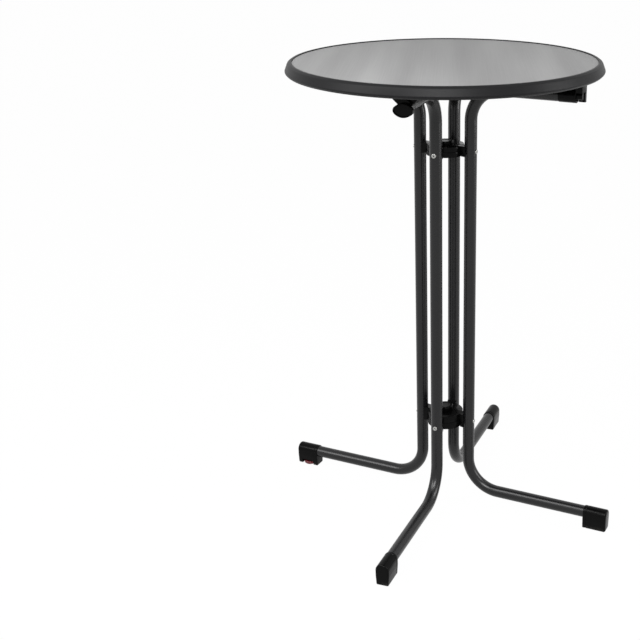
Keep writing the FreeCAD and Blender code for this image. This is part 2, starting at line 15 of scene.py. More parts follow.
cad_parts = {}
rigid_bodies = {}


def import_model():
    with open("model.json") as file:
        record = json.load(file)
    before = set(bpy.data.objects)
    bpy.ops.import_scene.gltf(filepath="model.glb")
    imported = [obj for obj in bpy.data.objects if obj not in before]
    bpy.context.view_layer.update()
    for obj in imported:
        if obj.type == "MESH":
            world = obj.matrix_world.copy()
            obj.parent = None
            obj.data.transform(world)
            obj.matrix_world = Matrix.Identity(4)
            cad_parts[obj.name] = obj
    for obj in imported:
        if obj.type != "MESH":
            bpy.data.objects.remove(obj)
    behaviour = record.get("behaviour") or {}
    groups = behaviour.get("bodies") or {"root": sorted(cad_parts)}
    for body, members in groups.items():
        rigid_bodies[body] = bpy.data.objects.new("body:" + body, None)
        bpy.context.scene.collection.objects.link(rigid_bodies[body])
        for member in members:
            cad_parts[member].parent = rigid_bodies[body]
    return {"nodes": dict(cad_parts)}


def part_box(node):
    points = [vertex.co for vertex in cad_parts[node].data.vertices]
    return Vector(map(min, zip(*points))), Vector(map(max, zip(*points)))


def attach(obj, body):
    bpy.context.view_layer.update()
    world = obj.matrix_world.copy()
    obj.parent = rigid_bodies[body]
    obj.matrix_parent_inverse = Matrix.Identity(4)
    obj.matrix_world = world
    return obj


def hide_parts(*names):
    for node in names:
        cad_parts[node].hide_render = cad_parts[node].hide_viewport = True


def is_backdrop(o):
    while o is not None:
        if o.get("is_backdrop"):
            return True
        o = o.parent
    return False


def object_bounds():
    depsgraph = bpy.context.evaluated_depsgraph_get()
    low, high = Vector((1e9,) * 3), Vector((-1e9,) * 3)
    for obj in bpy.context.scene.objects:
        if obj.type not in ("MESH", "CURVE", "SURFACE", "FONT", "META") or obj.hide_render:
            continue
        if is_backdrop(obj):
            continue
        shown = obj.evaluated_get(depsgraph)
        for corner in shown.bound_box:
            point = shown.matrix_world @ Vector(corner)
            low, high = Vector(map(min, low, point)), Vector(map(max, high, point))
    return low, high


for leftover in list(bpy.data.objects):
    bpy.data.objects.remove(leftover)
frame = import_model()
cad_low, cad_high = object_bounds()
scene = bpy.context.scene
scene.view_settings.view_transform = "Standard"

# %% [markdown]
# ## Camera
# A camera is easiest to match when its lens is known. Here the rim's ellipse, the four uprights and the feet
# were measured in the photograph, and one camera was fitted to them all. The table stands right of the
# picture's middle, yet its rim is level, so the lens is shifted sideways instead of the camera being turned.

# %% Place the camera
IMAGE_PX = 640
SENSOR_MM = 36.0
FOCAL_PX = 1111.1
AXIS_COLUMN_PX = 447.4
CAMERA_AZIMUTH = math.radians(24.2)
CAMERA_PITCH = math.radians(21.83)
CAMERA_DISTANCE = 2.483
CAMERA_SIDE = 0.005
CAMERA_HEIGHT = 1.4715

camera = bpy.data.objects.new("camera", bpy.data.cameras.new("camera"))
scene.collection.objects.link(camera)
camera.data.sensor_width = SENSOR_MM
camera.data.lens = FOCAL_PX * SENSOR_MM / IMAGE_PX
camera.data.shift_x = (IMAGE_PX / 2 - AXIS_COLUMN_PX) / IMAGE_PX
stand = Vector((CAMERA_SIDE, -CAMERA_DISTANCE, CAMERA_HEIGHT))
camera.location = Matrix.Rotation(CAMERA_AZIMUTH, 3, "Z") @ stand
camera.rotation_euler = (math.pi / 2 - CAMERA_PITCH, 0, CAMERA_AZIMUTH)
scene.camera = camera
print("camera:", round(camera.data.lens, 1), "mm lens at", [round(v, 3) for v in camera.location])

# %% [markdown]
# ## Nodes and colours
# Every finish is a small network of shader nodes. A few helpers keep it readable: one adds a node with its
# settings, one links its inputs or sets them, and one turns a colour written the way a picture editor shows
# it into linear light.

# %% Helpers for materials
MM = 0.001


def linear(hex_text):
    """Turn an sRGB colour such as #808080 into the linear values that a shader takes."""
    shares = [int(hex_text[i:i + 2], 16) / 255 for i in (1, 3, 5)]
    return [s / 12.92 if s <= 0.04045 else ((s + 0.055) / 1.055) ** 2.4 for s in shares] + [1.0]


def feed(tree, node, inputs):
    """Link a node's inputs to other nodes' sockets, or set them to plain values."""
    for name, value in inputs.items():
        if isinstance(value, bpy.types.NodeSocket):
            tree.links.new(value, node.inputs[name])
        else:
            node.inputs[name].default_value = value


def add_node(tree, kind, inputs=None, **settings):
    """Add a node, set its properties and feed its inputs."""
    node = tree.nodes.new(kind)
    for name, value in settings.items():
        setattr(node, name, value)
    feed(tree, node, inputs or {})
    return node


def new_finish(name):
    """Start a material: its node tree, its main shader, and a socket with places on the object in metres."""
    finish = bpy.data.materials.new(name)
    finish.use_nodes = True
    tree = finish.node_tree
    where = add_node(tree, "ShaderNodeTexCoord").outputs["Object"]
    return finish, tree, tree.nodes["Principled BSDF"], where


def per_metre(millimetres):
    """Texture scale whose pattern repeats about every so many millimetres."""
    return 1000 / millimetres


print("a middle grey in linear light:", round(linear("#808080")[0], 3))

# %% [markdown]
# ## Studio
# The table is shown on white. A white world would flood it with light from all sides, so the world and the
# floor are white only to the camera and to mirror-like rays, and softer to everything else. A tall lamp
# leans in from the left, which draws the bright line along the feet. A square lamp in front puts a soft shine
# on the middle of the rim, and a tall one on the right lifts the rim's far side.

# %% World, floor and lamps
WORLD_FILL = 0.3
FLOOR_SIZE = 40.0
FLOOR_DROP = 0.0006
FLOOR_GLOW = 0.985


def seen_directly(tree):
    """A socket that is 1 for camera, glossy and transmission rays and 0 for the light that fills the room."""
    path = add_node(tree, "ShaderNodeLightPath")
    mirror = add_node(tree, "ShaderNodeMath", {0: path.outputs["Is Glossy Ray"],
                                               1: path.outputs["Is Transmission Ray"]}, operation="MAXIMUM")
    either = add_node(tree, "ShaderNodeMath", {0: path.outputs["Is Camera Ray"],
                                               1: mirror.outputs[0]}, operation="MAXIMUM")
    return either.outputs[0]


world = bpy.data.worlds.new("studio")
world.use_nodes = True
scene.world = world
sky = world.node_tree.nodes["Background"]
sky.inputs["Color"].default_value = linear("#FFFFFF")
strength = add_node(world.node_tree, "ShaderNodeMapRange",
                    {"Value": seen_directly(world.node_tree), "To Min": WORLD_FILL, "To Max": 1.0})
world.node_tree.links.new(strength.outputs[0], sky.inputs["Strength"])

paper = bpy.data.materials.new("white_paper_floor")
paper.use_nodes = True
tree = paper.node_tree
tree.nodes.remove(tree.nodes["Principled BSDF"])
matte = add_node(tree, "ShaderNodeBsdfDiffuse", {"Color": linear("#F4F4F4")})
glow = add_node(tree, "ShaderNodeEmission", {"Color": linear("#FFFFFF"), "Strength": 1.0})
share = add_node(tree, "ShaderNodeMath", {0: seen_directly(tree), 1: FLOOR_GLOW}, operation="MULTIPLY")
both = add_node(tree, "ShaderNodeMixShader", {0: share.outputs[0], 1: matte.outputs[0], 2: glow.outputs[0]})
tree.links.new(both.outputs[0], tree.nodes["Material Output"].inputs["Surface"])

floor_mesh = bpy.data.meshes.new("floor")
half = FLOOR_SIZE / 2
corners = [(-half, -half, 0), (half, -half, 0), (half, half, 0), (-half, half, 0)]
floor_mesh.from_pydata(corners, [], [(0, 1, 2, 3)])
floor_mesh.materials.append(paper)
floor = bpy.data.objects.new("floor", floor_mesh)
floor.location.z = -FLOOR_DROP
scene.collection.objects.link(floor)
floor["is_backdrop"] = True


def softbox(name, azimuth, elevation, distance, size, watts, roll=0):
    """Rectangular lamp that faces the middle of the table; azimuth 0 is the camera's side."""
    lamp = bpy.data.lights.new(name, "AREA")
    lamp.shape = "RECTANGLE"
    lamp.size, lamp.size_y = size
    lamp.energy = watts
    holder = bpy.data.objects.new(name, lamp)
    scene.collection.objects.link(holder)
    around = CAMERA_AZIMUTH + math.radians(azimuth)
    rise = math.radians(elevation)
    out = Vector((math.sin(around) * math.cos(rise), -math.cos(around) * math.cos(rise), math.sin(rise)))
    holder.location = Vector((0, 0, cad_high.z / 2)) + out * distance
    facing = out.to_track_quat("Z", "Y").to_matrix()
    holder.rotation_euler = (facing @ Matrix.Rotation(math.radians(roll), 3, "Z")).to_euler()


softbox("strip", azimuth=-57, elevation=40, distance=2.8, size=(1.0, 2.4), watts=60, roll=-30)
softbox("front_fill", azimuth=-5, elevation=36, distance=2.6, size=(1.1, 1.1), watts=52)
softbox("right_fill", azimuth=80, elevation=20, distance=2.6, size=(0.8, 2.0), watts=36)
print("studio: floor", FLOOR_SIZE, "m wide,", len(bpy.data.lights), "lamps")

# %% [markdown]
# ## Powder-coated steel
# The tubes are steel, dusted with anthracite polyester powder and baked. The powder melts to a semi-gloss
# skin with a faint orange peel, so highlights are soft along a tube and slightly uneven across it.

# %% Powder coat
PEEL_MM = 3.0
CLOUD_MM = 70.0

powder_coat, tree, shader, where = new_finish("anthracite_powder_coat")
# real orange peel is about 1 mm wide; it is drawn three times as coarse so that it shows
peel = add_node(tree, "ShaderNodeTexNoise", {"Vector": where, "Scale": per_metre(PEEL_MM), "Detail": 3.0})
cloud = add_node(tree, "ShaderNodeTexNoise", {"Vector": where, "Scale": per_metre(CLOUD_MM), "Detail": 4.0})
tone = add_node(tree, "ShaderNodeMix", {"Factor": cloud.outputs["Fac"], "A": linear("#0B0B0C"),
                                        "B": linear("#101011")}, data_type="RGBA")
sheen = add_node(tree, "ShaderNodeMapRange", {"Value": peel.outputs["Fac"], "To Min": 0.25, "To Max": 0.30})
relief = add_node(tree, "ShaderNodeBump", {"Height": peel.outputs["Fac"], "Strength": 0.004,
                                           "Distance": 0.4 * MM})
feed(tree, shader, {"Base Color": tone.outputs["Result"], "Roughness": sheen.outputs[0],
                    "Normal": relief.outputs[0], "IOR": 1.45, "Specular IOR Level": 0.4})
print("finish:", powder_coat.name, "with a peel of", PEEL_MM, "mm")

# %% [markdown]
# ## Moulded polypropylene
# Shoes, hubs, covers and brackets are injection moulded in black polypropylene, in steel moulds with a fine
# spark-eroded grain. That grain breaks up the gloss. Near the floor the shoes are scuffed and dusty.

# %% Black plastic
GRAIN_MM = 1.4
SCUFF_MM = 9.0
SCUFF_HEIGHT = 12 * MM

black_plastic, tree, shader, where = new_finish("black_polypropylene")
# spark grain is about 0.3 mm wide and drawn coarser so that it shows
grain = add_node(tree, "ShaderNodeTexNoise", {"Vector": where, "Scale": per_metre(GRAIN_MM), "Detail": 2.0})
scuff = add_node(tree, "ShaderNodeTexNoise", {"Vector": where, "Scale": per_metre(SCUFF_MM), "Detail": 5.0,
                                              "Roughness": 0.7})
height = add_node(tree, "ShaderNodeSeparateXYZ", {"Vector": where}).outputs["Z"]
near_floor = add_node(tree, "ShaderNodeMapRange", {"Value": height, "From Min": 0.0,
                                                   "From Max": SCUFF_HEIGHT, "To Min": 1.0, "To Max": 0.0})
patches = add_node(tree, "ShaderNodeMapRange", {"Value": scuff.outputs["Fac"], "From Min": 0.45,
                                                "From Max": 0.7, "To Min": 0.0, "To Max": 0.5})
worn = add_node(tree, "ShaderNodeMath", {0: near_floor.outputs[0], 1: patches.outputs[0]}, operation="MULTIPLY")
plain = add_node(tree, "ShaderNodeMix", {"Factor": scuff.outputs["Fac"], "A": linear("#050505"),
                                         "B": linear("#080808")}, data_type="RGBA")
tone = add_node(tree, "ShaderNodeMix", {"Factor": worn.outputs[0], "A": plain.outputs["Result"],
                                        "B": linear("#4A4845")}, data_type="RGBA")
sheen = add_node(tree, "ShaderNodeMapRange", {"Value": grain.outputs["Fac"], "To Min": 0.17, "To Max": 0.26})
relief = add_node(tree, "ShaderNodeBump", {"Height": grain.outputs["Fac"], "Strength": 0.06,
                                           "Distance": 0.3 * MM})
feed(tree, shader, {"Base Color": tone.outputs["Result"], "Roughness": sheen.outputs[0],
                    "Normal": relief.outputs[0], "IOR": 1.49, "Specular IOR Level": 0.07})
print("finish:", black_plastic.name, "with a grain of", GRAIN_MM, "mm")

# %% [markdown]
# ## Red plastic
# The levelling wheel is moulded in dark red, like the shoes but glossier, because fingers polish it.

# %% Red plastic
red_plastic, tree, shader, where = new_finish("dark_red_plastic")
grain = add_node(tree, "ShaderNodeTexNoise", {"Vector": where, "Scale": per_metre(GRAIN_MM), "Detail": 2.0})
tone = add_node(tree, "ShaderNodeMix", {"Factor": grain.outputs["Fac"], "A": linear("#4A0610"),
                                        "B": linear("#5E0A18")}, data_type="RGBA")
sheen = add_node(tree, "ShaderNodeMapRange", {"Value": grain.outputs["Fac"], "To Min": 0.25, "To Max": 0.42})
feed(tree, shader, {"Base Color": tone.outputs["Result"], "Roughness": sheen.outputs[0], "IOR": 1.49})
print("finish:", red_plastic.name)

# %% [markdown]
# ## Zinc-plated steel
# Screws, bolts and nuts are zinc plated and passivated: a bright metal with a faint blue and yellow bloom.

# %% Zinc
BLOOM_MM = 6.0
PLATING_MM = 1.5

zinc, tree, shader, where = new_finish("zinc_plated_steel")
bloom = add_node(tree, "ShaderNodeTexNoise", {"Vector": where, "Scale": per_metre(BLOOM_MM), "Detail": 2.0})
plating = add_node(tree, "ShaderNodeTexNoise", {"Vector": where, "Scale": per_metre(PLATING_MM), "Detail": 3.0})
tone = add_node(tree, "ShaderNodeMix", {"Factor": bloom.outputs["Fac"], "A": linear("#A4A7AB"),
                                        "B": linear("#ABA89E")}, data_type="RGBA")
sheen = add_node(tree, "ShaderNodeMapRange", {"Value": plating.outputs["Fac"], "To Min": 0.18, "To Max": 0.36})
feed(tree, shader, {"Base Color": tone.outputs["Result"], "Roughness": sheen.outputs[0], "Metallic": 1.0})
print("finish:", zinc.name)

# %% [markdown]
# ## Laminate
# The top is a high-pressure laminate in light grey: printed paper in melamine resin, pressed against a satin
# plate. The print is a fine brushed streak. Long soft clouds of painted reflection lie over it: light and dark
# bands that run the same way, along the camera's line of sight. The satin plate leaves a dull, even gloss.
# Noise is stretched along that direction for both.

# %% Laminate
STREAK_LENGTH_MM = 240.0
STREAK_WIDTH_MM = 3.0
# the long soft clouds sized here are painted reflection: light and dark bands mixed into the top's colour
REFLECTION_BAND_LENGTH_MM = 1100.0
REFLECTION_BAND_WIDTH_MM = 95.0
REFLECTION_BAND_SHARE = 0.75
# this heading is the camera's line of sight, so the streaks and the painted reflection bands stand upright
STREAK_AND_REFLECTION_HEADING = math.radians(114)

laminate, tree, shader, where = new_finish("grey_laminate")
along = add_node(tree, "ShaderNodeVectorRotate", {"Vector": where, "Angle": -STREAK_AND_REFLECTION_HEADING},
                 rotation_type="Z_AXIS").outputs[0]
thin = add_node(tree, "ShaderNodeMapping", {"Vector": along, "Scale": (
    per_metre(STREAK_LENGTH_MM), per_metre(STREAK_WIDTH_MM), 1.0)})
streak = add_node(tree, "ShaderNodeTexNoise", {"Vector": thin.outputs[0], "Scale": 1.0, "Detail": 3.0})
# painted reflection: long soft light and dark clouds, mixed over the printed streak
reflection_band_scale = add_node(tree, "ShaderNodeMapping", {"Vector": along, "Scale": (
    per_metre(REFLECTION_BAND_LENGTH_MM), per_metre(REFLECTION_BAND_WIDTH_MM), 1.0)})
cloud = add_node(tree, "ShaderNodeTexNoise", {"Vector": reflection_band_scale.outputs[0], "Scale": 1.0, "Detail": 1.5})
print_and_reflection = add_node(tree, "ShaderNodeMix", {"Factor": REFLECTION_BAND_SHARE, "A": streak.outputs["Fac"],
                                             "B": cloud.outputs["Fac"]}, data_type="FLOAT")
spread = add_node(tree, "ShaderNodeMapRange", {"Value": print_and_reflection.outputs[0], "From Min": 0.35,
                                               "From Max": 0.65})
tone = add_node(tree, "ShaderNodeMix", {"Factor": spread.outputs[0], "A": linear("#7A7A7A"),
                                        "B": linear("#8F8F8F")}, data_type="RGBA")
sheen = add_node(tree, "ShaderNodeMapRange", {"Value": streak.outputs["Fac"], "To Min": 0.52, "To Max": 0.62})
feed(tree, shader, {"Base Color": tone.outputs["Result"], "Roughness": sheen.outputs[0], "IOR": 1.5,
                    "Specular IOR Level": 0.22})
print("finish:", laminate.name, "with streaks", STREAK_WIDTH_MM, "mm wide")

# %% [markdown]
# ## Moulded rim
# The rim is anthracite plastic moulded around the board. Its tool was turned on a lathe, which leaves very
# faint lines round the edge, so the pattern is noise that is stretched around and fine from top to bottom.

# %% Rim plastic
TOOL_LINE_MM = 1.6
TOOL_RUN_MM = 160.0

rim_plastic, tree, shader, where = new_finish("anthracite_moulded_rim")
drawn = add_node(tree, "ShaderNodeMapping", {"Vector": where, "Scale": (
    per_metre(TOOL_RUN_MM), per_metre(TOOL_RUN_MM), per_metre(TOOL_LINE_MM))})
lines = add_node(tree, "ShaderNodeTexNoise", {"Vector": drawn.outputs[0], "Scale": 1.0, "Detail": 3.0})
tone = add_node(tree, "ShaderNodeMix", {"Factor": lines.outputs["Fac"], "A": linear("#121213"),
                                        "B": linear("#171718")}, data_type="RGBA")
sheen = add_node(tree, "ShaderNodeMapRange", {"Value": lines.outputs["Fac"], "To Min": 0.40, "To Max": 0.46})
relief = add_node(tree, "ShaderNodeBump", {"Height": lines.outputs["Fac"], "Strength": 0.1,
                                           "Distance": 0.3 * MM})
feed(tree, shader, {"Base Color": tone.outputs["Result"], "Roughness": sheen.outputs[0],
                    "Normal": relief.outputs[0], "IOR": 1.5, "Specular IOR Level": 0.1})
print("finish:", rim_plastic.name)

# %% [markdown]
# ## Board and nylon
# The board is pressed fibre with a dark backing sheet: brown-black, dull, with short paler fibres. The
# sliding washers in the hubs are natural nylon, milky and smooth.

# %% Board backing and nylon
FIBRE_MM = 2.2

board_back, tree, shader, where = new_finish("fibre_board_backing")
fibre = add_node(tree, "ShaderNodeTexNoise", {"Vector": where, "Scale": per_metre(FIBRE_MM), "Detail": 6.0,
                                              "Roughness": 0.75})
spread = add_node(tree, "ShaderNodeMapRange", {"Value": fibre.outputs["Fac"], "From Min": 0.35,
                                               "From Max": 0.75})
tone = add_node(tree, "ShaderNodeMix", {"Factor": spread.outputs[0], "A": linear("#2B2825"),
                                        "B": linear("#4A443D")}, data_type="RGBA")
relief = add_node(tree, "ShaderNodeBump", {"Height": fibre.outputs["Fac"], "Strength": 0.2,
                                           "Distance": 0.4 * MM})
feed(tree, shader, {"Base Color": tone.outputs["Result"], "Normal": relief.outputs[0], "Roughness": 0.7})

nylon, tree, shader, where = new_finish("natural_nylon")
milk = add_node(tree, "ShaderNodeTexNoise", {"Vector": where, "Scale": per_metre(GRAIN_MM), "Detail": 2.0})
tone = add_node(tree, "ShaderNodeMix", {"Factor": milk.outputs["Fac"], "A": linear("#D6D2C4"),
                                        "B": linear("#E2DFD4")}, data_type="RGBA")
feed(tree, shader, {"Base Color": tone.outputs["Result"], "Roughness": 0.45})
print("finishes:", board_back.name, "and", nylon.name)

# %% [markdown]
# ## Sizes from the frame
# Most places can be read from the boxes of the CAD pieces. The right leg lies along X, so its box gives the
# tube's radius and its distances. The front and back legs stand 85 degrees from the right and left ones.

# %% Read the sizes
SIDES = ("front", "back", "left", "right")
BODY_OF = {"front": "frame", "back": "frame", "left": "cross_frame", "right": "cross_frame"}
HUBS = ("upper", "lower")
leg_low, leg_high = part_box("leg_right")
TUBE_RADIUS = leg_high.y
LEG_RADIUS = leg_low.x + TUBE_RADIUS
ARM_HEIGHT = leg_high.z - TUBE_RADIUS
FOOT_HEIGHT = leg_low.z + TUBE_RADIUS
FOOT_END = leg_high.x
cap_low, cap_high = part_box("foot_cap_right")
SPREAD = math.radians(85)
TURN = {"right": 0.0, "left": math.pi, "front": -SPREAD, "back": math.pi - SPREAD}
AROUND = {side: Matrix.Rotation(angle, 4, "Z") for side, angle in TURN.items()}
print("legs at", {side: round(math.degrees(angle), 1) for side, angle in TURN.items()}, "degrees")

# %% [markdown]
# ## Building blocks for meshes
# Most pieces here are one of two kinds: a rounded outline spun about an axis, as on a lathe, or a row of
# rings joined by faces, as in a loft. There is one function for each and one that rounds the corners of an
# outline. The rest move, gather and cut shapes, and turn the result into a piece that rides on its CAD body.

# %% Mesh helpers
CORNER_STEPS = 6
QUARTER = [math.pi / 2 * step / CORNER_STEPS for step in range(CORNER_STEPS + 1)]
SMOOTH_ANGLE = math.radians(38)
SAME_POINT = 0.0005 * MM
ON_AXIS = 0.000001 * MM


def rounded(corners, steps=CORNER_STEPS):
    """Closed outline through (x, y, radius) corners, each one replaced by an arc of its radius."""
    outline = []
    for number, (x, y, radius) in enumerate(corners):
        here = Vector((x, y))
        if radius == 0:
            outline.append((x, y))
            continue
        before = (Vector(corners[number - 1][:2]) - here).normalized()
        after = (Vector(corners[(number + 1) % len(corners)][:2]) - here).normalized()
        half_angle = before.angle(after) / 2
        centre = here + (before + after).normalized() * radius / math.sin(half_angle)
        first = here + before * radius / math.tan(half_angle) - centre
        last = here + after * radius / math.tan(half_angle) - centre
        swing = math.atan2(first.x * last.y - first.y * last.x, first.dot(last))
        for step in range(steps + 1):
            spoke = Matrix.Rotation(swing * step / steps, 2) @ first
            outline.append((centre.x + spoke.x, centre.y + spoke.y))
    return outline


def loft(rings, around=False):
    """Join rings of equally many points with faces; the ends are closed, or joined to each other."""
    points = [point for ring in rings for point in ring]
    count = len(rings[0])
    faces = []
    for row in range(len(rings) if around else len(rings) - 1):
        here = row * count
        there = (row + 1) % len(rings) * count
        for i in range(count):
            j = (i + 1) % count
            faces.append((here + i, here + j, there + j, there + i))
    if not around:
        faces.append(tuple(reversed(range(count))))
        faces.append(tuple(range(len(points) - count, len(points))))
    return points, faces


def lathe(outline, steps):
    """Spin a closed outline of (radius, height) points about Z; points on the axis become single vertices."""
    points = []
    rings = []
    for radius, height in outline:
        if radius < ON_AXIS:
            rings.append([len(points)] * steps)
            points.append((0, 0, height))
            continue
        rings.append(list(range(len(points), len(points) + steps)))
        turns = [2 * math.pi * i / steps for i in range(steps)]
        points += [(radius * math.cos(a), radius * math.sin(a), height) for a in turns]
    faces = []
    for ring, following in zip(rings, rings[1:] + rings[:1]):
        for i in range(steps):
            j = (i + 1) % steps
            corners = list(dict.fromkeys((ring[i], ring[j], following[j], following[i])))
            if len(corners) > 2:
                faces.append(corners)
    return points, faces


def place(shape, matrix):
    """A shape with its points moved by a matrix."""
    points, faces = shape
    return [tuple(matrix @ Vector(point)) for point in points], faces


def gather(shapes):
    """Several separate shapes as one."""
    points, faces = [], []
    for some_points, some_faces in shapes:
        start = len(points)
        points += some_points
        faces += [[start + i for i in face] for face in some_faces]
    return points, faces


def shape_mesh(name, shape):
    """Mesh of a shape, with doubled points welded and its faces turned outwards."""
    mesh = bpy.data.meshes.new(name)
    mesh.from_pydata(shape[0], [], shape[1])
    work = bmesh.new()
    work.from_mesh(mesh)
    bmesh.ops.remove_doubles(work, verts=work.verts, dist=SAME_POINT)
    bmesh.ops.recalc_face_normals(work, faces=work.faces)
    work.to_mesh(mesh)
    work.free()
    return mesh


def add_piece(name, mesh, finish, body, slot, *stands_for):
    """Show a mesh as a piece that rides on a body and stands for CAD nodes."""
    mesh.shade_smooth()
    mesh.set_sharp_from_angle(angle=SMOOTH_ANGLE)
    mesh.materials.clear()
    mesh.materials.append(finish)
    piece = bpy.data.objects.new(name, mesh)
    scene.collection.objects.link(piece)
    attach(piece, body)
    if stands_for:
        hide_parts(*stands_for)
    work = bmesh.new()
    work.from_mesh(mesh)
    gaps = sum(not edge.is_manifold for edge in work.edges)
    work.free()
    print(f"{name}: {len(mesh.polygons)} faces, {gaps} open edges")


def carve(name, shape, cutter):
    """Mesh of a shape with another shape cut out of it."""
    block = bpy.data.objects.new(name, shape_mesh(name, shape))
    tool = bpy.data.objects.new(name + "_cutter", shape_mesh(name + "_cutter", cutter))
    for thing in (block, tool):
        scene.collection.objects.link(thing)
    difference = block.modifiers.new("cut", "BOOLEAN")
    difference.object = tool
    difference.operation = "DIFFERENCE"
    difference.solver = "EXACT"
    mesh = bpy.data.meshes.new_from_object(block.evaluated_get(bpy.context.evaluated_depsgraph_get()))
    for thing in (block, tool):
        bpy.data.objects.remove(thing)
    return mesh


print("helpers ready: rounded, loft, lathe, place, gather, shape_mesh, add_piece, carve")

# %% [markdown]
# ## Top
# The rim is a moulded ring with a flat inner band, a soft shoulder, a sloping side and a rounded underside.
# It is spun from one outline in fine steps, because its long edge shows every facet. The laminate lies
# inside it, two millimetres lower, so the lip draws a dark line round the laminate's edge.

# %% Rim and laminate
RIM_STEPS = 288
LIP_ROUND = 0.4 * MM
SEAT_GAP = 0.1 * MM
BAND_WIDTH = 4.5 * MM
BAND_ROUND = 3 * MM
SHOULDER_REACH = 10 * MM
SHOULDER_DROP = 3.5 * MM
SHOULDER_ROUND = 5.5 * MM
WAIST_DROP = 20 * MM
WAIST_ROUND = 4 * MM
UNDERSIDE_ROUND = 6 * MM
rim_low, rim_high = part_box("rim_edging")
rim_radius = rim_high.x
face_low, face_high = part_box("top_laminate")
seat_radius = face_high.x + SEAT_GAP
top = rim_high.z
bottom = rim_low.z
outline = rounded([
    (seat_radius, bottom, LIP_ROUND),
    (rim_radius - UNDERSIDE_ROUND, bottom, UNDERSIDE_ROUND),
    (rim_radius, top - WAIST_DROP, WAIST_ROUND),
    (seat_radius + SHOULDER_REACH, top - SHOULDER_DROP, SHOULDER_ROUND),
    (seat_radius + BAND_WIDTH, top, BAND_ROUND),
    (seat_radius, top, LIP_ROUND)])
rim_mesh = shape_mesh("moulded_rim", lathe(outline, RIM_STEPS))
add_piece("moulded_rim", rim_mesh, rim_plastic, "top", "rim_plastic", "rim_edging")

outline = rounded([
    (0, face_low.z, 0),
    (face_high.x, face_low.z, 0),
    (face_high.x, face_high.z, LIP_ROUND),
    (0, face_high.z, 0)])
sheet_mesh = shape_mesh("decor_sheet", lathe(outline, RIM_STEPS))
add_piece("decor_sheet", sheet_mesh, laminate, "top", "laminate", "top_laminate")

# %% [markdown]
# ## Tube legs
# Each leg is one steel tube, bent twice on a former. A bend stretches its outer side, so a real tube is a
# little flatter there, which shows in the highlight. A curve with a round bevel could not do that, so the
# tube is lofted ring by ring: outside from arm to foot, and back along the inside, so that it has its wall.

# %% Legs
ARM_END = {"front": 248 * MM, "back": 248 * MM, "left": 304 * MM, "right": 304 * MM}
ARM_BEND = 72 * MM
FOOT_BEND = 80 * MM
TUBE_WALL = 1.5 * MM
BEND_FLATTENING = 0.035
BEND_STEPS = 28
TUBE_STEPS = 40


def leg_stations(arm_end):
    """Places along a leg from arm end to foot end: x, z, heading, and how flat the tube is there."""
    stations = [(arm_end, ARM_HEIGHT, math.pi, 1.0)]
    for height, radius, heading in ((ARM_HEIGHT - ARM_BEND, ARM_BEND, math.pi),
                                    (FOOT_HEIGHT + FOOT_BEND, FOOT_BEND, 1.5 * math.pi)):
        for step in range(BEND_STEPS + 1):
            share = step / BEND_STEPS
            angle = heading + share * math.pi / 2
            stations.append((LEG_RADIUS + radius + radius * math.sin(angle), height - radius * math.cos(angle),
                             angle, 1 - BEND_FLATTENING * math.sin(math.pi * share)))
    stations.append((FOOT_END, FOOT_HEIGHT, 2 * math.pi, 1.0))
    return stations


def tube_ring(station, radius):
    """Ring of points around one station of a leg."""
    x, z, heading, flat = station
    ring = []
    for i in range(TUBE_STEPS):
        angle = 2 * math.pi * i / TUBE_STEPS
        across = radius * flat * math.cos(angle)
        ring.append((x - across * math.sin(heading), radius * math.sin(angle), z + across * math.cos(heading)))
    return ring


for side in SIDES:
    stations = leg_stations(ARM_END[side])
    outside = [tube_ring(station, TUBE_RADIUS) for station in stations]
    inside = [tube_ring(station, TUBE_RADIUS - TUBE_WALL) for station in reversed(stations)]
    turned = place(loft(outside + inside, around=True), AROUND[side])
    add_piece("tube_" + side, shape_mesh("tube_" + side, turned), powder_coat, BODY_OF[side], "powder_coat",
              "leg_" + side)

# %% [markdown]
# ## Shoes
# A shoe is a moulding that is round above, like the tube in it, and tapers to a flat sole. Its section is
# lofted along the tube and drawn in at both ends, which rounds the edges, with one shallow groove behind the
# mouth. The left shoe has a slot through its sole for the levelling wheel, cut out as a box.

# %% Shoes
CAP_BASE = 14.5 * MM
CAP_FLARE = 24 * MM
FLARE_ROUND = 12 * MM
SHOE_STEPS = 10
SOLE_ROUND = 2.5 * MM
MOUTH_ROUND = 2.0 * MM
TOE_ROUND = 4.0 * MM
GROOVE_PLACE = 8 * MM
GROOVE_DEPTH = 0.6 * MM
SLOT_HALF = 16.85 * MM
SLOT_HEIGHT = 11.9 * MM
cap_half = cap_high.y
cap_middle = (cap_low.x + cap_high.x) / 2


def shoe_ring(x, inset):
    """Section of a shoe at x, drawn in all round by an inset."""
    side_face = cap_half - inset
    base = CAP_BASE - inset
    crown = cap_high.z - inset
    section = rounded([
        (-base, inset, SOLE_ROUND), (base, inset, SOLE_ROUND),
        (side_face, CAP_FLARE, FLARE_ROUND), (side_face, crown, side_face),
        (-side_face, crown, side_face), (-side_face, CAP_FLARE, FLARE_ROUND)], SHOE_STEPS)
    return [(x, y, z) for y, z in section]


def shoe_shape():
    """Loft of a shoe from its mouth to its toe."""
    rings = [shoe_ring(cap_low.x + MOUTH_ROUND * (1 - math.cos(a)), MOUTH_ROUND * (1 - math.sin(a)))
             for a in QUARTER]
    groove = cap_low.x + GROOVE_PLACE
    for shift, depth in ((-2, 0), (-1, GROOVE_DEPTH), (1, GROOVE_DEPTH), (2, 0)):
        rings.append(shoe_ring(groove + shift * GROOVE_DEPTH, depth))
    rings += [shoe_ring(cap_high.x - TOE_ROUND + TOE_ROUND * math.sin(a), TOE_ROUND * (1 - math.cos(a)))
              for a in QUARTER]
    return loft(rings)


def box_shape(low, high):
    """Six-sided box between two corners."""
    rings = [[(low[0], low[1], z), (high[0], low[1], z), (high[0], high[1], z), (low[0], high[1], z)]
             for z in (low[2], high[2])]
    return loft(rings)


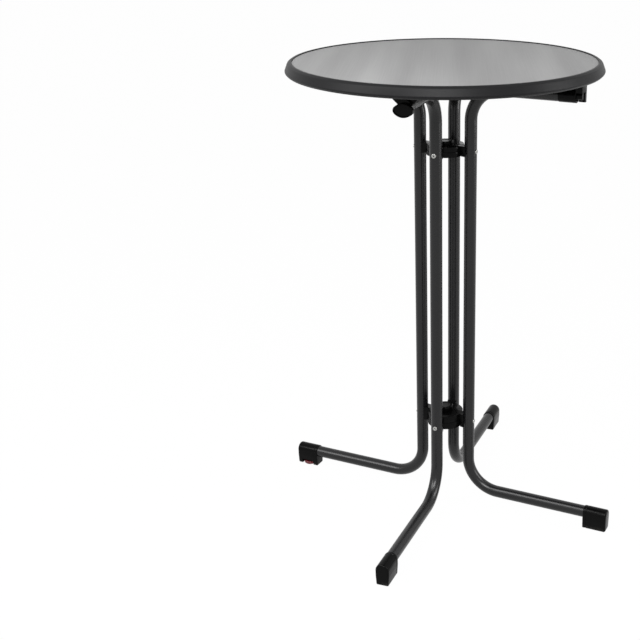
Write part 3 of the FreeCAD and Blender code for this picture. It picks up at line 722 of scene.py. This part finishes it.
wheel_slot = box_shape((cap_middle - SLOT_HALF, -2 * cap_half, -SLOT_HEIGHT),
                       (cap_middle + SLOT_HALF, 2 * cap_half, SLOT_HEIGHT))
for side in SIDES:
    name = "shoe_" + side
    shoe = place(shoe_shape(), AROUND[side])
    if side == "left":
        mesh = carve(name, shoe, place(wheel_slot, AROUND[side]))
    else:
        mesh = shape_mesh(name, shoe)
    add_piece(name, mesh, black_plastic, BODY_OF[side], "black_plastic", "foot_cap_" + side)

# %% [markdown]
# ## Levelling wheel
# A finger turns this wheel from the side of the shoe, so its edge has scallops. Its ring of points swings in
# and out with a cosine as it goes round, and the same ring is repeated a little smaller for the chamfers.

# %% Levelling wheel
SCALLOPS = 18
SCALLOP_DEPTH = 0.9 * MM
WHEEL_CHAMFER = 0.8 * MM
WHEEL_STEPS = 180
WHEEL_BORE = 4.1 * MM
wheel_low, wheel_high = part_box("level_wheel")
wheel_centre = (wheel_low + wheel_high) / 2
wheel_radius = (wheel_high.x - wheel_low.x) / 2


def wheel_ring(inset, z):
    """Scalloped ring of the wheel's edge, drawn in by an inset."""
    ring = []
    for i in range(WHEEL_STEPS):
        angle = 2 * math.pi * i / WHEEL_STEPS
        dip = SCALLOP_DEPTH * (0.5 - 0.5 * math.cos(SCALLOPS * angle)) ** 2
        radius = wheel_radius - inset - dip
        ring.append((radius * math.cos(angle), radius * math.sin(angle), z))
    return ring


def bore_ring(z):
    """Round ring of the wheel's bore."""
    turns = [2 * math.pi * i / WHEEL_STEPS for i in range(WHEEL_STEPS)]
    return [(WHEEL_BORE * math.cos(a), WHEEL_BORE * math.sin(a), z) for a in turns]


wheel_tall = wheel_high.z - wheel_low.z
wheel_rings = [wheel_ring(WHEEL_CHAMFER, 0), wheel_ring(0, WHEEL_CHAMFER),
               wheel_ring(0, wheel_tall - WHEEL_CHAMFER), wheel_ring(WHEEL_CHAMFER, wheel_tall),
               bore_ring(wheel_tall), bore_ring(0)]
seat = Matrix.Translation((wheel_centre.x, wheel_centre.y, wheel_low.z))
wheel_mesh = shape_mesh("thumb_wheel", place(loft(wheel_rings, around=True), seat))
add_piece("thumb_wheel", wheel_mesh, red_plastic, "level_wheel", "red_plastic", "level_wheel")

# %% [markdown]
# ## Mouldings with softened edges
# Hub plates, catches and nuts already have their true shape in the CAD model, but CAD edges are sharp, and
# real moulded edges catch the light. A copy of each mesh is welded, its flat triangles are merged back into
# whole faces, and its sharp edges get a small bevel. The saddles get the same bevel on a section of their
# own, which flares close above the arm, with the screw heads sunk from below.

# %% Soften the edges
WELD = 0.002 * MM
FLAT_ANGLE = math.radians(0.5)
SHARP_ANGLE = math.radians(40)
PLATE_EDGE = 0.8 * MM
BRACKET_EDGE = 0.9 * MM
NUT_EDGE = 0.5 * MM


def softened(mesh, name, width):
    """Copy of a mesh with its sharp edges bevelled."""
    work = bmesh.new()
    work.from_mesh(mesh)
    bmesh.ops.remove_doubles(work, verts=work.verts, dist=WELD)
    bmesh.ops.dissolve_limit(work, angle_limit=FLAT_ANGLE, verts=work.verts, edges=work.edges)
    sharp = [edge for edge in work.edges if edge.is_manifold and edge.calc_face_angle() > SHARP_ANGLE]
    bmesh.ops.bevel(work, geom=sharp, offset=width, segments=2, profile=0.5, affect="EDGES", clamp_overlap=True)
    points = [tuple(vert.co) for vert in work.verts]
    work.verts.index_update()
    faces = [[vert.index for vert in face.verts] for face in work.faces]
    work.free()
    return shape_mesh(name, (points, faces))


MOULDINGS = [(f"{hub}_hub_{part}", body) for hub in HUBS
             for part, body in (("fixed", "frame"), ("swing", "cross_frame"))]
for node, body in MOULDINGS:
    name = node.replace("hub", "plate")
    mesh = softened(frame["nodes"][node].data, name, PLATE_EDGE)
    add_piece(name, mesh, black_plastic, body, "black_plastic", node)
for node in ("catch_left", "catch_right"):
    name = "soft_" + node
    mesh = softened(frame["nodes"][node].data, name, BRACKET_EDGE)
    add_piece(name, mesh, black_plastic, "top", "black_plastic", node)
for hub in HUBS:
    node = hub + "_pivot_nut"
    name = hub + "_lock_nut"
    add_piece(name, softened(frame["nodes"][node].data, name, NUT_EDGE), zinc, "frame", "zinc", node)

# %% Saddles
SADDLE_START = 213.5 * MM
SADDLE_END = 247.5 * MM
SADDLE_NECK = 16.5 * MM
SADDLE_FLANGE = 27 * MM
SADDLE_WAIST = 2.5 * MM
SADDLE_FLARE = 12 * MM
ARM_ROOM = 0.3 * MM
SADDLE_HOLLOW = TUBE_RADIUS + ARM_ROOM
SINK_RADIUS = 3.7 * MM
SINK_OFFSET = 20.7 * MM
FLANGE_THICKNESS = 5 * MM
ARCH_STEPS = 24
SINK_STEPS = 32
saddle_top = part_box("saddle_front")[1].z - ARM_HEIGHT
arch = [math.pi * step / ARCH_STEPS for step in range(ARCH_STEPS + 1)]
section = [(-SADDLE_HOLLOW * math.cos(a), SADDLE_HOLLOW * math.sin(a)) for a in arch]
flank = [(SADDLE_NECK, 0), (SADDLE_NECK, SADDLE_WAIST), (SADDLE_FLANGE, SADDLE_FLARE),
         (SADDLE_FLANGE, saddle_top)]
section += flank + [(-y, z) for y, z in reversed(flank)]
saddle_block = loft([[(x, y, z) for y, z in section] for x in (SADDLE_START, SADDLE_END)])
sink_top = saddle_top - FLANGE_THICKNESS
sink = lathe([(0, 0), (SINK_RADIUS, 0), (SINK_RADIUS, sink_top), (0, sink_top)], SINK_STEPS)
saddle_middle = (SADDLE_START + SADDLE_END) / 2
sinks = gather([place(sink, Matrix.Translation((saddle_middle, y, 0))) for y in (-SINK_OFFSET, SINK_OFFSET)])
for side in ("front", "back"):
    name = "soft_saddle_" + side
    turn = AROUND[side] @ Matrix.Translation((0, 0, ARM_HEIGHT))
    mesh = softened(carve(name, place(saddle_block, turn), place(sinks, turn)), name, BRACKET_EDGE)
    add_piece(name, mesh, black_plastic, "top", "black_plastic", "saddle_" + side)

# %% [markdown]
# ## Pivot covers and arm ends
# The covers over the pivot bolts and the plugs of the right and left arms are round, so they are spun. A
# plug wraps the end of its tube in a thin sleeve. The front and back arms end in an oval cap: four arcs,
# lofted from the spigot out to the raised lip.

# %% Pivot covers
COVER_RADIUS = 18.5 * MM
COVER_ROOM = 9 * MM
COVER_CEILING = 6 * MM
COVER_FOOT_ROUND = 0.4 * MM
COVER_ROUND = 2.2 * MM
COVER_DISH = 0.8 * MM
DISH_EDGE_SHARE = 0.62
DISH_FLOOR_SHARE = 0.56
COVER_STEPS = 64
for hub in HUBS:
    low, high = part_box(hub + "_pivot_cover")
    outline = rounded([
        (COVER_ROOM, low.z, 0),
        (COVER_RADIUS, low.z, COVER_FOOT_ROUND),
        (COVER_RADIUS, high.z, COVER_ROUND),
        (DISH_EDGE_SHARE * COVER_RADIUS, high.z, COVER_DISH),
        (DISH_FLOOR_SHARE * COVER_RADIUS, high.z - COVER_DISH, COVER_DISH),
        (0, high.z - COVER_DISH, 0),
        (0, low.z + COVER_CEILING, 0),
        (COVER_ROOM, low.z + COVER_CEILING, 0)])
    name = hub + "_cover"
    mesh = shape_mesh(name, lathe(outline, COVER_STEPS))
    add_piece(name, mesh, black_plastic, "cross_frame", "black_plastic", hub + "_pivot_cover")

# %% Arm ends
SPIGOT_RADIUS = 12.7 * MM
SPIGOT_LENGTH = 20 * MM
SPIGOT_ROUND = 1 * MM
COLLAR = 3 * MM
COLLAR_ROUND = 0.8 * MM
SLEEVE_LENGTH = 36 * MM
SLEEVE_GAP = 0.03 * MM
SLEEVE_THICKNESS = 0.8 * MM
SLEEVE_ROUND = 0.3 * MM
SLEEVE_RADIUS = TUBE_RADIUS + SLEEVE_THICKNESS
NOSE_RADIUS = 8 * MM
NOSE_END = 16 * MM
NOSE_ROUND = 1.5 * MM
NOSE_ROOT = 0.4 * MM
PLUG_STEPS = 48
OVAL_WIDE = 22 * MM
OVAL_TALL = 14.5 * MM
OVAL_END = 9.5 * MM
OVAL_DEEP = 10 * MM
OVAL_DROP = 8 * MM
OVAL_ROUND = 1.2 * MM
OVAL_STEPS = 16
LIP = 3 * MM
LIP_BEVEL = 0.6 * MM
DISH = 2 * MM
DISH_SLOPE = 0.4 * MM

plug_outline = rounded([
    (0, -SPIGOT_LENGTH, 0),
    (SPIGOT_RADIUS, -SPIGOT_LENGTH, SPIGOT_ROUND),
    (SPIGOT_RADIUS, 0, 0),
    (TUBE_RADIUS + SLEEVE_GAP, 0, 0),
    (TUBE_RADIUS + SLEEVE_GAP, -SLEEVE_LENGTH, 0),
    (SLEEVE_RADIUS, -SLEEVE_LENGTH, SLEEVE_ROUND),
    (SLEEVE_RADIUS, COLLAR, COLLAR_ROUND),
    (NOSE_RADIUS, COLLAR, NOSE_ROOT),
    (NOSE_RADIUS, NOSE_END, NOSE_ROUND),
    (0, NOSE_END, 0)])
lying = Matrix.Rotation(math.pi / 2, 4, "Y")


def arm_tip(side):
    """Matrix that puts a shape on the end of an arm, with X along the arm."""
    return AROUND[side] @ Matrix.Translation((ARM_END[side], 0, ARM_HEIGHT))


for side in ("left", "right"):
    name = "plug_" + side
    shape = place(lathe(plug_outline, PLUG_STEPS), arm_tip(side) @ lying)
    add_piece(name, shape_mesh(name, shape), black_plastic, "cross_frame", "black_plastic", "arm_plug_" + side)


def oval_ring(x, inset):
    """Four-arc oval across the arm, drawn in by an inset; the arcs' centres stay where they are."""
    shift = OVAL_WIDE - OVAL_END
    flat = (shift ** 2 + OVAL_TALL ** 2 - OVAL_END ** 2) / (2 * (OVAL_TALL - OVAL_END))
    drop = flat - OVAL_TALL
    change = math.atan2(drop, shift)
    arcs = [((shift, 0), OVAL_END, -change, change), ((0, -drop), flat, change, math.pi - change),
            ((-shift, 0), OVAL_END, math.pi - change, math.pi + change),
            ((0, drop), flat, math.pi + change, 2 * math.pi - change)]
    ring = []
    for centre, radius, start, end in arcs:
        for step in range(OVAL_STEPS):
            angle = start + (end - start) * step / OVAL_STEPS
            ring.append((x, centre[0] + (radius - inset) * math.cos(angle),
                         centre[1] + (radius - inset) * math.sin(angle) - OVAL_DROP))
    return ring


def round_ring(x, radius):
    """Round ring with as many points as the oval, each facing the oval's point."""
    ring = []
    for _, y, z in oval_ring(x, 0):
        angle = math.atan2(z, y)
        ring.append((x, radius * math.cos(angle), radius * math.sin(angle)))
    return ring


oval_front = COLLAR + OVAL_DEEP
cap_rings = [round_ring(-SPIGOT_LENGTH, SPIGOT_RADIUS), round_ring(0, SPIGOT_RADIUS),
             round_ring(0, TUBE_RADIUS), round_ring(COLLAR, TUBE_RADIUS), oval_ring(COLLAR, OVAL_ROUND)]
cap_rings += [oval_ring(COLLAR + OVAL_ROUND * (1 - math.cos(a)), OVAL_ROUND * (1 - math.sin(a)))
              for a in QUARTER[1:]]
cap_rings += [oval_ring(oval_front - OVAL_ROUND + OVAL_ROUND * math.sin(a), OVAL_ROUND * (1 - math.cos(a)))
              for a in QUARTER]
cap_rings += [oval_ring(oval_front, LIP - LIP_BEVEL), oval_ring(oval_front - LIP_BEVEL, LIP),
              oval_ring(oval_front - DISH, LIP + DISH_SLOPE)]
for side in ("front", "back"):
    name = "oval_cap_" + side
    shape = place(loft(cap_rings), arm_tip(side))
    add_piece(name, shape_mesh(name, shape), black_plastic, "frame", "black_plastic", "arm_cap_" + side)

# %% [markdown]
# ## Screws
# The leg screws have pan heads with a cross recess. A head is spun, the recess is cut with a tapered cross,
# and the finished screw is copied to every place. Each head sinks a little into the tube's round side, as
# it does where the tube was dimpled for it.

# %% Screws
HEAD_RADIUS = 5.2 * MM
HEAD_HEIGHT = 1.2 * MM
HEAD_SINK = 1.3 * MM
HEAD_SIDE = 0.55 * HEAD_HEIGHT
HEAD_ROUND = 0.35 * HEAD_HEIGHT
CROWN_RADIUS = 0.45 * HEAD_RADIUS
CROWN_ROUND = 0.5 * HEAD_RADIUS
SHANK_RADIUS = 3 * MM
SHANK_PAST_TUBE = 4.5 * MM
SHANK_LENGTH = 2 * TUBE_RADIUS + SHANK_PAST_TUBE
SHANK_ROUND = 0.5 * MM
SEAT_ROUND = 0.2 * MM
RECESS_DEPTH = 1.7 * MM
RECESS_REACH = 0.55 * HEAD_RADIUS
RECESS_HALF = 0.22 * RECESS_REACH
TIP_REACH = 0.45 * RECESS_REACH
TIP_HALF = 0.16 * RECESS_REACH
CUTTER_TOP = 1.1 * HEAD_HEIGHT
SCREW_STEPS = 40
FIRST_SPIN = 0.4
NEXT_SPIN = 1.1
HUB_HEIGHTS = [sum(corner.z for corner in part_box(hub + "_hub_swing")) / 2 for hub in HUBS]


def cross_ring(reach, arm_half, z):
    """Twelve points of a cross."""
    quarter_turn = [(reach, -arm_half), (reach, arm_half), (arm_half, arm_half)]
    ring = []
    for turn in range(4):
        spin = Matrix.Rotation(turn * math.pi / 2, 2)
        for point in quarter_turn:
            x, y = spin @ Vector(point)
            ring.append((x, y, z))
    return ring


def screw_mesh(name):
    """Pan-head screw on Z with its seat at height 0 and a cross recess in its crown."""
    outline = rounded([
        (0, -SHANK_LENGTH, 0),
        (SHANK_RADIUS, -SHANK_LENGTH, SHANK_ROUND),
        (SHANK_RADIUS, -HEAD_SINK, 0),
        (HEAD_RADIUS, -HEAD_SINK, SEAT_ROUND),
        (HEAD_RADIUS, HEAD_SIDE, HEAD_ROUND),
        (CROWN_RADIUS, HEAD_HEIGHT, CROWN_ROUND),
        (0, HEAD_HEIGHT, 0)])
    # the recess tapers downwards, and its cutter stands a little above the crown
    recess = loft([cross_ring(TIP_REACH, TIP_HALF, HEAD_HEIGHT - RECESS_DEPTH),
                   cross_ring(RECESS_REACH, RECESS_HALF, CUTTER_TOP)])
    return carve(name, lathe(outline, SCREW_STEPS), recess)


def mesh_shape(mesh):
    """Points and faces of a mesh."""
    return [tuple(vert.co) for vert in mesh.vertices], [tuple(face.vertices) for face in mesh.polygons]


leg_screw = mesh_shape(screw_mesh("leg_screw"))
for group, sides, body in (("fixed", ("front", "back"), "frame"), ("swing", ("left", "right"), "cross_frame")):
    copies = []
    for side in sides:
        for number, height in enumerate(HUB_HEIGHTS):
            seat = Matrix.Translation((LEG_RADIUS + TUBE_RADIUS, 0, height))
            spin = Matrix.Rotation(FIRST_SPIN + NEXT_SPIN * number + TURN[side], 4, "Z")
            copies.append(place(leg_screw, AROUND[side] @ seat @ lying @ spin))
    name = group + "_screws"
    add_piece(name, shape_mesh(name, gather(copies)), zinc, body, "zinc", group + "_leg_screws")

# %% [markdown]
# ## Finishes on the CAD pieces that stay
# The board, the pivot bolts, the washers, the stud and the bracket screws are simple and mostly hidden, so
# their CAD meshes stay as they are and only get their finish.

# %% Dress the CAD nodes
STAYING = {"top_board": board_back, "level_stud": zinc, "bracket_screws": zinc,
           "upper_pivot_bolt": zinc, "lower_pivot_bolt": zinc,
           "upper_pivot_washer": nylon, "lower_pivot_washer": nylon}
for node, finish in STAYING.items():
    mesh = frame["nodes"][node].data
    mesh.materials.clear()
    mesh.materials.append(finish)
shown = sorted(name for name, thing in frame["nodes"].items() if not thing.hide_render)
print("CAD nodes still shown:", shown)

# %% Measure and finish
low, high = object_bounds()
print("visual box", [round(v, 4) for v in low], [round(v, 4) for v in high])
